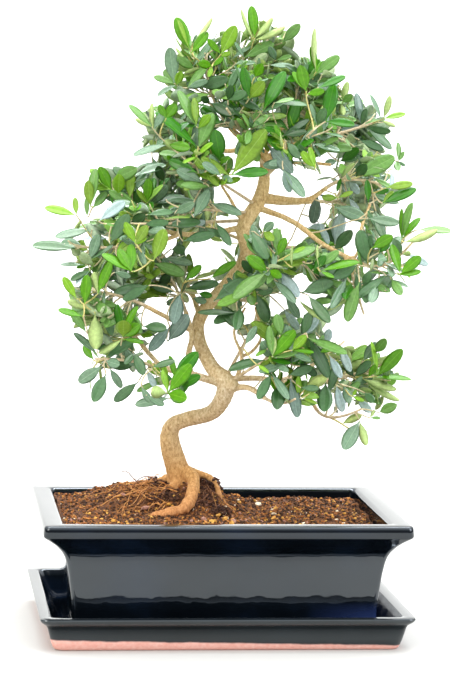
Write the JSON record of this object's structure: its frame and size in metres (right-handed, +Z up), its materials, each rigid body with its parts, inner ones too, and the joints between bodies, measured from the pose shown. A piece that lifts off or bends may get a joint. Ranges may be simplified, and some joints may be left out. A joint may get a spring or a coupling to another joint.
{
  "type": "olive bonsai",
  "caption": "Olive bonsai: a winding trunk with root flare and an open leafy crown, planted in a dark glazed oblong pot that stands in a matching drip tray.",
  "frame": {"origin": "middle of the drip tray's flat underside, at the height of the surface that it stands on", "axes": "+X along the pot's long side, +Y to the back of the tree, +Z up the trunk"},
  "size_m": [0.2316, 0.1662, 0.3493],
  "materials": {
    "pot_glaze": "high-gloss near-black blue glaze",
    "tray_glaze": "gloss dark grey-green glaze over a bare terracotta foot",
    "soil": "coarse reddish-brown granules",
    "bark": "pale tan furrowed bark",
    "foliage": "satin grey-green leaves on thin twigs"
  },
  "bodies": {
    "root": {"tray": "tray_glaze", "pot": "pot_glaze", "soil": "soil", "trunk": "bark", "bough_top_left": "bark", "bough_top_middle": "bark", "bough_top_right": "bark", "bough_upper_right": "bark", "bough_upper_left": "bark", "bough_right_shoulder": "bark", "bough_right_back": "bark", "bough_right_long": "bark", "bough_right_drop": "bark", "bough_low_right": "bark", "bough_low_front": "bark", "bough_low_drop": "bark", "bough_low_back": "bark", "bough_left_low": "bark", "bough_left_foot": "bark", "bough_left_riser": "bark", "bough_left_out": "bark", "bough_left_mid": "bark", "bough_left_long": "bark", "bough_left_tip": "bark", "bough_back_left": "bark", "foliage_top_left": "foliage", "foliage_top_middle": "foliage", "foliage_top_right": "foliage", "foliage_upper_right": "foliage", "foliage_upper_left": "foliage", "foliage_upper_middle": "foliage", "foliage_upper_front": "foliage", "foliage_upper_near_left": "foliage", "foliage_upper_back": "foliage", "foliage_right_shoulder": "foliage", "foliage_right_back": "foliage", "foliage_right_tip": "foliage", "foliage_right_drop": "foliage", "foliage_centre_right": "foliage", "foliage_left_upper": "foliage", "foliage_left_tip": "foliage", "foliage_left_front": "foliage", "foliage_left_near": "foliage", "foliage_left_inner": "foliage", "foliage_left_low": "foliage", "foliage_left_bottom": "foliage", "foliage_left_middle": "foliage", "foliage_left_back_low": "foliage", "foliage_left_foot": "foliage", "foliage_back_left": "foliage", "foliage_back_middle": "foliage", "foliage_centre_front": "foliage", "foliage_centre": "foliage", "foliage_middle": "foliage", "foliage_low_rosette": "foliage", "foliage_low_right": "foliage", "foliage_low_front": "foliage", "foliage_low_drop": "foliage", "foliage_low_back": "foliage"}
  },
  "joints": []
}
